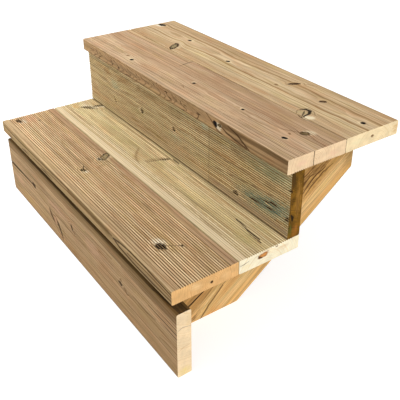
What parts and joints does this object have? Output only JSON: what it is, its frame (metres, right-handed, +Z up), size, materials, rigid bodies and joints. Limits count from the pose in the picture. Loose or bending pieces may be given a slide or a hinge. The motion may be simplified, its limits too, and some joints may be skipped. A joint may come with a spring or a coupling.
{
  "type": "wooden deck stairs",
  "caption": "Timber garden steps with reeded decking treads, board risers and sawn stringers, for fixing against the edge of a deck.",
  "frame": {"origin": "centre of the left stringer's plumb cut, the upright face that is screwed to the deck", "axes": "+X along the steps to the climber's right, +Y towards the deck, +Z up"},
  "size_m": [0.811, 0.528, 0.364],
  "materials": {
    "tread_pink_pine": "reeded, pressure treated, unpainted",
    "tread_yellow_pine": "reeded, pressure treated, unpainted",
    "tread_red_pine": "planed smooth, pressure treated, unpainted",
    "tread_gold_pine": "planed smooth, pressure treated, unpainted",
    "lower_riser_pine": "planed smooth, pressure treated, unpainted",
    "upper_riser_pine": "reeded, pressure treated, unpainted",
    "stringer_pine": "planed smooth, pressure treated, unpainted",
    "screw_steel": null
  },
  "bodies": {
    "root": {"lower_tread_front": "tread_pink_pine", "lower_tread_back": "tread_yellow_pine", "upper_tread_front": "tread_red_pine", "upper_tread_back": "tread_gold_pine", "lower_riser": "lower_riser_pine", "upper_riser": "upper_riser_pine", "stringer_left": "stringer_pine", "stringer_right": "stringer_pine"}
  },
  "joints": []
}
